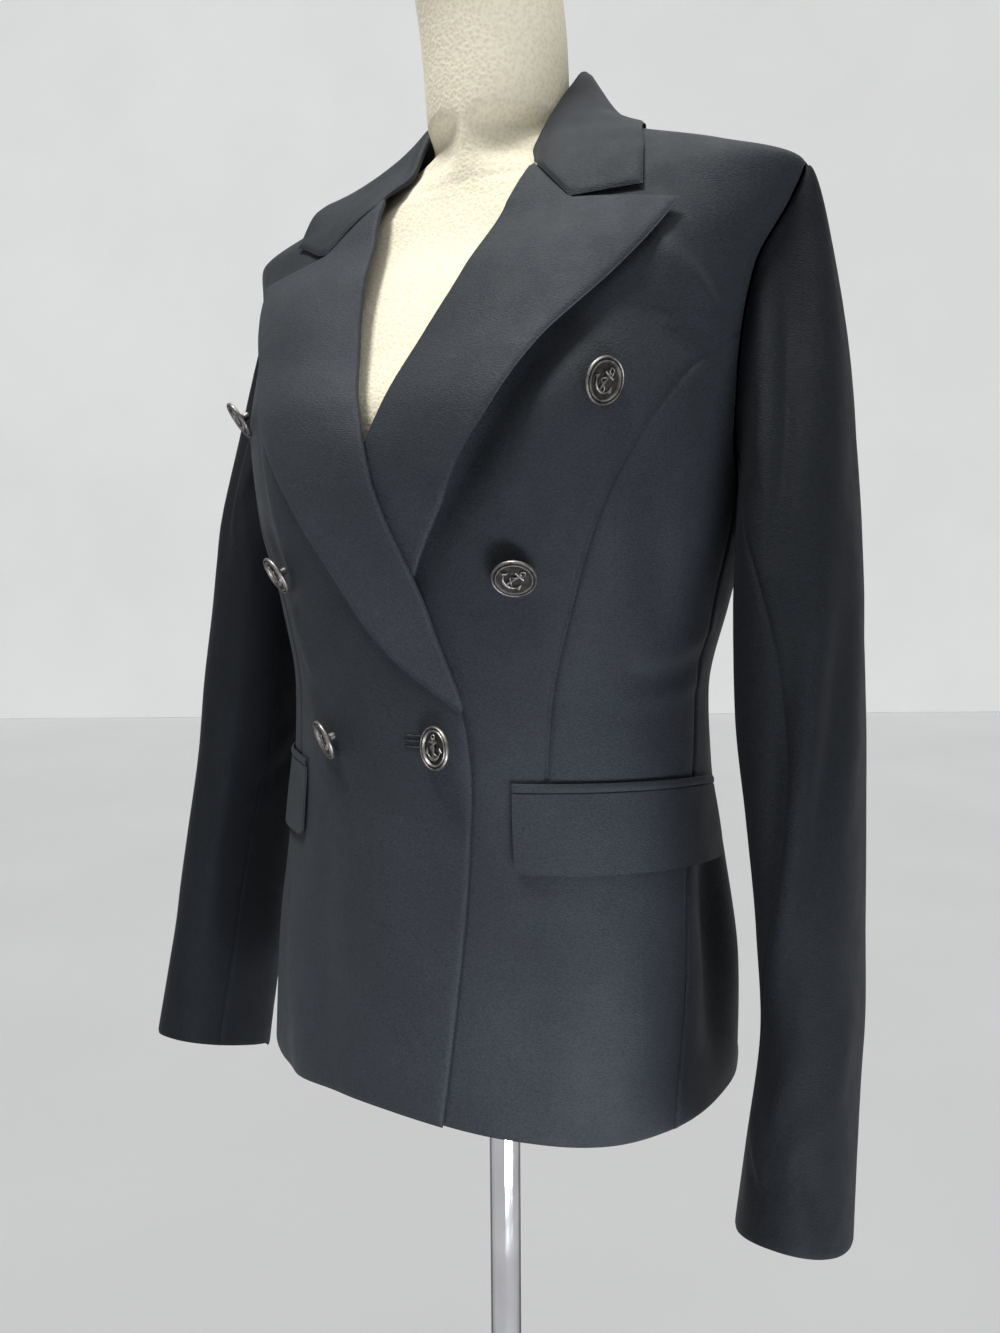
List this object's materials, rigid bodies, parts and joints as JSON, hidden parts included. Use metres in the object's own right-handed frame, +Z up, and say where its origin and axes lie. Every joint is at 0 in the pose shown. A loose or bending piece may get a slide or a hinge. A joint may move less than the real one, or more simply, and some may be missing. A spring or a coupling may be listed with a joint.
{
  "type": "double-breasted blazer on a dress form",
  "caption": "Fitted double-breasted blazer with peak lapels, flap pockets and shank buttons, worn by a limbless dress form on a pole stand.",
  "frame": {"origin": "middle of the stand's foot, on the floor under the pole", "axes": "+Z up along the pole, +X to the wearer's left, -Y to the wearer's front"},
  "size_m": [0.5044, 0.32, 1.5],
  "materials": {
    "suiting": "smooth near-black stretch suiting with a soft sheen",
    "button_metal": "aged pewter, darker in the hollows",
    "velour": "ivory velour with a short fleecy nap",
    "chrome": "polished chrome",
    "base_steel": "satin steel"
  },
  "bodies": {
    "root": {"left_front": "suiting", "right_front": "suiting", "left_side_front": "suiting", "right_side_front": "suiting", "left_side_back": "suiting", "right_side_back": "suiting", "left_back": "suiting", "right_back": "suiting", "left_lapel": "suiting", "right_lapel": "suiting", "collar": "suiting", "collar_stand": "suiting", "left_top_sleeve": "suiting", "right_top_sleeve": "suiting", "left_under_sleeve": "suiting", "right_under_sleeve": "suiting", "left_pocket_welt": "suiting", "right_pocket_welt": "suiting", "left_pocket_flap": "suiting", "right_pocket_flap": "suiting", "left_top_button": "button_metal", "right_top_button": "button_metal", "left_middle_button": "button_metal", "right_middle_button": "button_metal", "left_bottom_button": "button_metal", "right_bottom_button": "button_metal", "form_torso": "velour", "form_socket": "chrome", "form_pole": "chrome", "form_base": "base_steel"}
  },
  "joints": []
}
